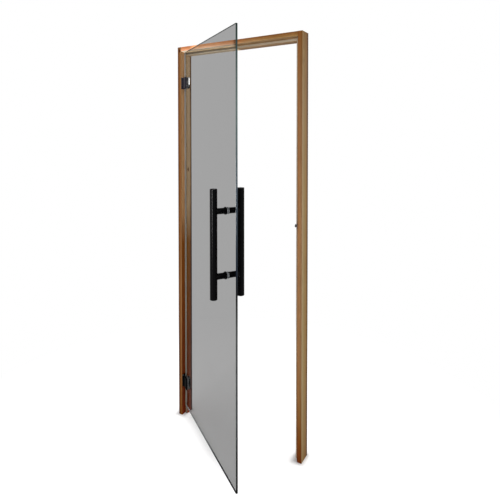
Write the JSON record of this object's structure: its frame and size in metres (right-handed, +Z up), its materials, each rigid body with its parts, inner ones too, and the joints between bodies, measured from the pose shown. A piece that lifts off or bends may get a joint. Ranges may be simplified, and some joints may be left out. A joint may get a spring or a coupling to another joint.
{
  "type": "sauna door",
  "caption": "Sauna door with a tinted glass leaf hinged in a rebated timber frame, black hinges, ladder pull handles and a roller catch.",
  "frame": {"origin": "foot of the hinge jamb's outer side face, at mid depth of the frame, on the floor level", "axes": "+X from the hinge jamb to the latch jamb, +Y from the opening side into the cabin, +Z up"},
  "size_m": [0.69, 0.4109, 1.89],
  "materials": {
    "thermo_timber": "oiled, lengthwise grain",
    "tinted_glass": "polished, smoke grey tint",
    "silicone_seal": "matt, pale",
    "black_metal": "satin black coating",
    "hinge_gasket": "matt black",
    "clear_bush": "translucent",
    "steel_pin": "turned",
    "catch_steel": "plated",
    "roller_plastic": "matt black"
  },
  "bodies": {
    "frame": {"hinge_jamb": "thermo_timber", "latch_jamb": "thermo_timber", "head_rail": "thermo_timber", "hinge_jamb_seal": "silicone_seal", "latch_jamb_seal": "silicone_seal", "head_seal": "silicone_seal", "upper_hinge_bracket": "black_metal", "lower_hinge_bracket": "black_metal", "upper_hinge_pin": "steel_pin", "lower_hinge_pin": "steel_pin", "catch_housing": "catch_steel", "catch_roller": "roller_plastic"},
    "leaf": {"glass_leaf": "tinted_glass", "upper_hinge_clamp": "black_metal", "upper_hinge_backplate": "black_metal", "upper_hinge_gasket": "hinge_gasket", "lower_hinge_clamp": "black_metal", "lower_hinge_backplate": "black_metal", "lower_hinge_gasket": "hinge_gasket", "outer_handle_bar": "black_metal", "inner_handle_bar": "black_metal", "outer_handle_top_cap": "black_metal", "outer_handle_bottom_cap": "black_metal", "inner_handle_top_cap": "black_metal", "inner_handle_bottom_cap": "black_metal", "outer_upper_post": "black_metal", "inner_upper_post": "black_metal", "outer_upper_collar": "black_metal", "upper_handle_bush": "clear_bush", "upper_handle_stud": "steel_pin", "outer_lower_post": "black_metal", "inner_lower_post": "black_metal", "outer_lower_collar": "black_metal", "lower_handle_bush": "clear_bush", "lower_handle_stud": "steel_pin"}
  },
  "joints": [
    {"name": "door_swing", "type": "hinge", "parent": "frame", "child": "leaf", "pos_m": [0.028, -0.0305, 0.943], "axis": [0, 0, -1], "range_deg": [-33, 67]}
  ]
}
